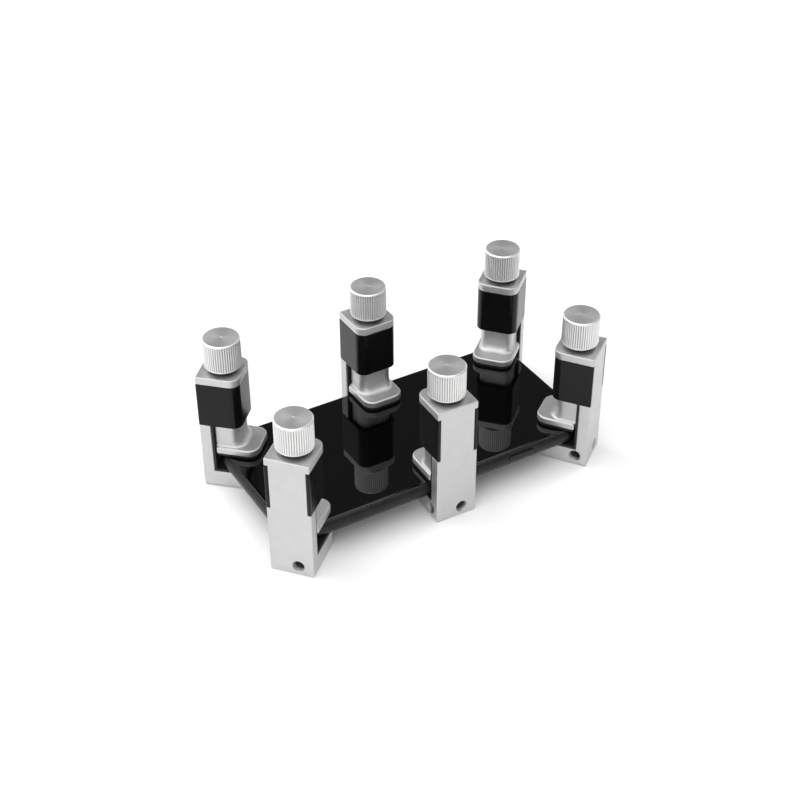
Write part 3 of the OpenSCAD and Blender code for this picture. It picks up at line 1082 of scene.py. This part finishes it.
class BuildSlab(Operator):
    """The glass-faced slab: housing, glass, back cover, side key, display panel and adhesive bead"""
    bl_idname = "screen_clamps.slab"
    bl_label = "Slab"

    def execute(self, context):
        s = context.scene.slab_sizes
        housing = new_mesh("rounded_housing", self.housing(s))
        cut(housing, [self.key_pocket(s)])
        complete(housing, "slab", "anodised_housing", "slab_housing")
        screen = new_mesh("curved_glass", self.pane(s, GLASS_LOW, GLASS_HIGH, 1))
        complete(screen, "slab", "black_glass", "screen_glass")
        back = new_mesh("rear_glass", self.pane(s, COVER_LOW, COVER_HIGH, -1))
        complete(back, "slab", "black_glass", "back_cover")
        key = new_mesh("power_key", self.key(s))
        complete(key, "key", "anodised_housing", "side_key")
        paint("display_panel", "panel_film")
        paint("adhesive_bead", "adhesive")
        return {"FINISHED"}

    def plan(self, s, inset):
        """The slab's outline moved inwards by the inset, with its middle at the slab's."""
        half_l = (SLAB_HIGH[0] - SLAB_LOW[0]) / 2
        half_w = (SLAB_HIGH[1] - SLAB_LOW[1]) / 2
        r = s.corner - inset
        plan = outline(inset - half_l, half_l - inset, half_w - inset, r, r, arc=20, side=24, end=12)
        return plan + SLAB_MID[:2]

    def housing(self, s):
        """A section carried round the outline: a half round outside, lips beside the two panes, seats for
        them, and an inner wall. Inset e (1 - cos t), height e sin t about mid height."""
        e = (GLASS_HIGH[2] - COVER_LOW[2]) / 2
        mid = (GLASS_HIGH[2] + COVER_LOW[2]) / 2
        lip = GLASS_LOW[0] - SLAB_LOW[0] - 0.12 * MM
        reach = math.acos(1 - lip / e)
        t = np.linspace(-reach, reach, 25)
        section = np.c_[e * (1 - np.cos(t)), mid + e * np.sin(t)]
        top, low = section[-1, 1], section[0, 1]
        seat, cover = GLASS_LOW[2] - 0.22 * MM, COVER_HIGH[2] + 0.03 * MM
        inner = 5.6 * MM
        above = [(lip + 0.05 * MM, top - 0.02 * MM), (lip + 0.08 * MM, top - 0.12 * MM),
                 (lip + 0.08 * MM, seat), (inner, seat)]
        below = [(inner, cover), (lip + 0.08 * MM, cover), (lip + 0.08 * MM, low + 0.12 * MM),
                 (lip + 0.05 * MM, low + 0.02 * MM)]
        section = np.vstack([section, above, below])
        return loop([at_height(self.plan(s, inset), z) for inset, z in section])

    def key_pocket(self, s):
        """Cutter for the pocket that the key moves in, a little larger than the key."""
        return self.capsule(s, KEY_LOW[1] - 1 * MM, SLAB_LOW[1] + 1.25 * MM, 0.09 * MM, 0)

    def key(self, s):
        """The side key: a capsule with a softly rounded face."""
        return self.capsule(s, KEY_LOW[1], SLAB_LOW[1] + 0.85 * MM, 0, 0.22 * MM)

    def capsule(self, s, y0, y1, grow, edge):
        """A rounded slot shape standing along y from y0 to y1, grown all round, with its outer edge
        rounded."""
        half_l, half_h = s.key_length / 2 + grow, s.key_height / 2 + grow
        mid_x = (KEY_LOW[0] + KEY_HIGH[0]) / 2
        mid_z = KEY_HIGH[2] - s.key_height / 2

        def ring(inset, y):
            r = half_h - inset - 0.01 * MM
            plan = outline(inset - half_l, half_l - inset, half_h - inset, r, r, arc=10)
            return np.c_[mid_x + plan[:, 0], np.full(len(plan), y), mid_z + plan[:, 1]]

        if not edge:
            return stack([ring(0, y0), ring(0, y1)])
        return stack([ring(i, y0 + edge - h) for h, i in rounding(edge)[::-1]] + [ring(0, y1)])

    def pane(self, s, low, high, side):
        """A pane whose outer face turns down to its edge along a quarter ellipse. side is 1 for the screen
        and -1 for the back."""
        inset = low[0] - SLAB_LOW[0]
        inner, outer = (low[2], high[2]) if side > 0 else (high[2], low[2])
        thick = abs(outer - inner)
        drop = 0.5 * thick
        rows = [(inset + 0.05 * MM, inner), (inset, inner + side * 0.05 * MM), (inset, outer - side * drop)]
        t = np.linspace(0, math.pi / 2, 9)[1:]
        rows += [(inset + s.glass_edge * (1 - math.cos(a)), outer - side * drop * (1 - math.sin(a)))
                 for a in t]
        rows += [(inset + s.glass_edge + 4 * MM, outer), (inset + 9 * MM, outer)]
        return stack([at_height(self.plan(s, i), z) for i, z in rows])


class BuildStage(Operator):
    """White paper floor, soft studio lights and the camera"""
    bl_idname = "screen_clamps.stage"
    bl_label = "Stage"

    def execute(self, context):
        scene = context.scene
        st = scene.clamp_stage
        self.camera(st)
        half = st.floor_half
        mesh = bpy.data.meshes.new("paper_floor")
        mesh.from_pydata([(-half, -half, 0), (half, -half, 0), (half, half, 0), (-half, half, 0)], [],
                         [(0, 1, 2, 3)])
        floor = link("paper_floor", mesh)
        mesh.materials.append(finish("studio_paper"))
        self.softbox(st)
        scene.world = self.sky(st)
        scene.view_settings.view_transform = "Standard"
        return {"FINISHED"}

    def camera(self, st):
        """The camera, looking at its target along the lens's axis."""
        data = bpy.data.cameras.new("camera")
        data.sensor_width = 36
        data.lens = st.lens
        data.shift_x = st.shift_x
        data.shift_y = st.shift_y
        data.clip_start, data.clip_end = 0.01, 20
        camera = link("camera", data)
        a, e = math.radians(st.azimuth), math.radians(st.elevation)
        back = Vector((math.sin(a) * math.cos(e), -math.cos(a) * math.cos(e), math.sin(e)))
        camera.location = Vector(st.target) + back * st.distance
        turn = (-back).to_track_quat("-Z", "Y").to_matrix() @ Matrix.Rotation(math.radians(st.roll), 3, "Z")
        camera.rotation_euler = turn.to_euler()
        bpy.context.scene.camera = camera

    def sky(self, st):
        """White studio: a bright ceiling, walls that are dimmer on the right, and a black flag that the
        glass and the flat tops mirror. Each part fades with the cosine to its axis."""
        world = bpy.data.worlds.new("studio")
        world.use_nodes = True
        nodes, links = world.node_tree.nodes, world.node_tree.links
        coords = nodes.new("ShaderNodeTexCoord")

        def zone(part, outside, inside):
            """Strength that goes from outside to inside as the cosine to the part's axis rises."""
            axis, low, high = part
            dot = nodes.new("ShaderNodeVectorMath")
            dot.operation = "DOT_PRODUCT"
            dot.inputs[1].default_value = Vector(axis).normalized()
            links.new(coords.outputs["Generated"], dot.inputs[0])
            return map_range(nodes, links, dot.outputs["Value"], low, high, outside, inside, "SMOOTHSTEP")

        strength = zone(CEILING, st.walls, st.ceiling)
        for part, share in ((BLACK_FLAG, st.flag), (RIGHT_WALL, st.right_wall)):
            product = nodes.new("ShaderNodeMath")
            product.operation = "MULTIPLY"
            links.new(strength, product.inputs[0])
            links.new(zone(part, 1.0, share), product.inputs[1])
            strength = product.outputs[0]
        links.new(strength, nodes["Background"].inputs["Strength"])
        nodes["Background"].inputs["Color"].default_value = (1, 1, 1, 1)
        return world

    def softbox(self, st):
        """A square area light behind the set that faces its middle."""
        data = bpy.data.lights.new("rear_softbox", "AREA")
        data.shape = "RECTANGLE"
        data.size = data.size_y = st.softbox_size
        data.energy = st.softbox_power
        light = link("rear_softbox", data)
        light.location = SOFTBOX_PLACE
        light.rotation_euler = (-Vector(SOFTBOX_PLACE)).to_track_quat("-Z", "Y").to_euler()


OPERATORS = [
    BuildStage, BuildSlab, BuildFrames, BuildSleeves, BuildLiners, BuildJaws, BuildKnobs, BuildScrews]


class ClampPanel(Panel):
    """Lists the sizes, colours and building steps"""
    bl_idname = "VIEW3D_PT_screen_clamps"
    bl_label = "Screen Clamps"
    bl_space_type = "VIEW_3D"
    bl_region_type = "UI"
    bl_category = "Screen Clamps"

    def draw(self, context):
        for group in GROUPS:
            box = self.layout.box()
            settings = getattr(context.scene, group)
            for name in settings.bl_rna.properties.keys():
                if name not in ("rna_type", "name"):
                    box.prop(settings, name)
        for operator in OPERATORS:
            self.layout.operator(operator.bl_idname)


def register():
    for cls in [*GROUPS.values(), *OPERATORS, ClampPanel]:
        bpy.utils.register_class(cls)
    for name, group in GROUPS.items():
        setattr(bpy.types.Scene, name, PointerProperty(type=group))


def unregister():
    for name in GROUPS:
        delattr(bpy.types.Scene, name)
    for cls in [ClampPanel, *OPERATORS, *GROUPS.values()]:
        bpy.utils.unregister_class(cls)


def main():
    register()
    for operator in OPERATORS:
        group, name = operator.bl_idname.split(".")
        getattr(getattr(bpy.ops, group), name)()


if __name__ == "__main__":
    main()
